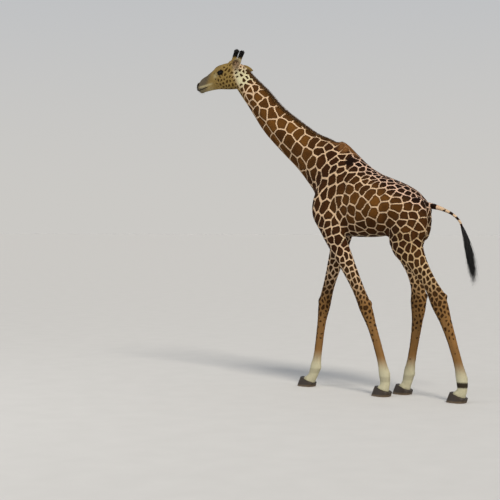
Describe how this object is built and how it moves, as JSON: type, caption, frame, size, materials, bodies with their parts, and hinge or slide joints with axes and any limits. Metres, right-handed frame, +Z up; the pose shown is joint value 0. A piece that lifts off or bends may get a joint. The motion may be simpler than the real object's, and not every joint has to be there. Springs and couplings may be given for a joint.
{
  "type": "giraffe",
  "caption": "Life-size still model of a walking giraffe with long sloping neck, patched coat, short upright mane and tufted tail.",
  "frame": {"origin": "on the ground, under the middle of the model's outline box", "axes": "+Z up; the giraffe faces -Y, and +X is to its left"},
  "size_m": [0.644, 3.6672, 3.9778],
  "materials": {
    "hide": "short flat coat: brown many-sided patches parted by cream lines",
    "pale_hide": "short flat coat: small brown spots on tan, cream towards the hooves",
    "face": "very short coat: tan with small spots, grey-brown about the lips and nostrils",
    "horn": "dark hoof horn with a dull sheen",
    "hair": "stiff dark brown hair",
    "eye": "wet, very dark brown"
  },
  "bodies": {
    "root": {"torso": "hide", "neck": "hide", "head": "face", "eye_left": "eye", "eye_right": "eye", "ear_left": "pale_hide", "ear_right": "pale_hide", "ossicone_left": "hair", "ossicone_right": "hair", "mane": "hair", "foreleg_left": "pale_hide", "foreleg_right": "pale_hide", "hind_leg_left": "pale_hide", "hind_leg_right": "pale_hide", "forehoof_left_outer": "horn", "forehoof_left_inner": "horn", "forehoof_right_outer": "horn", "forehoof_right_inner": "horn", "hind_hoof_left_outer": "horn", "hind_hoof_left_inner": "horn", "hind_hoof_right_outer": "horn", "hind_hoof_right_inner": "horn", "tail": "pale_hide", "tail_tuft": "hair"}
  },
  "joints": []
}
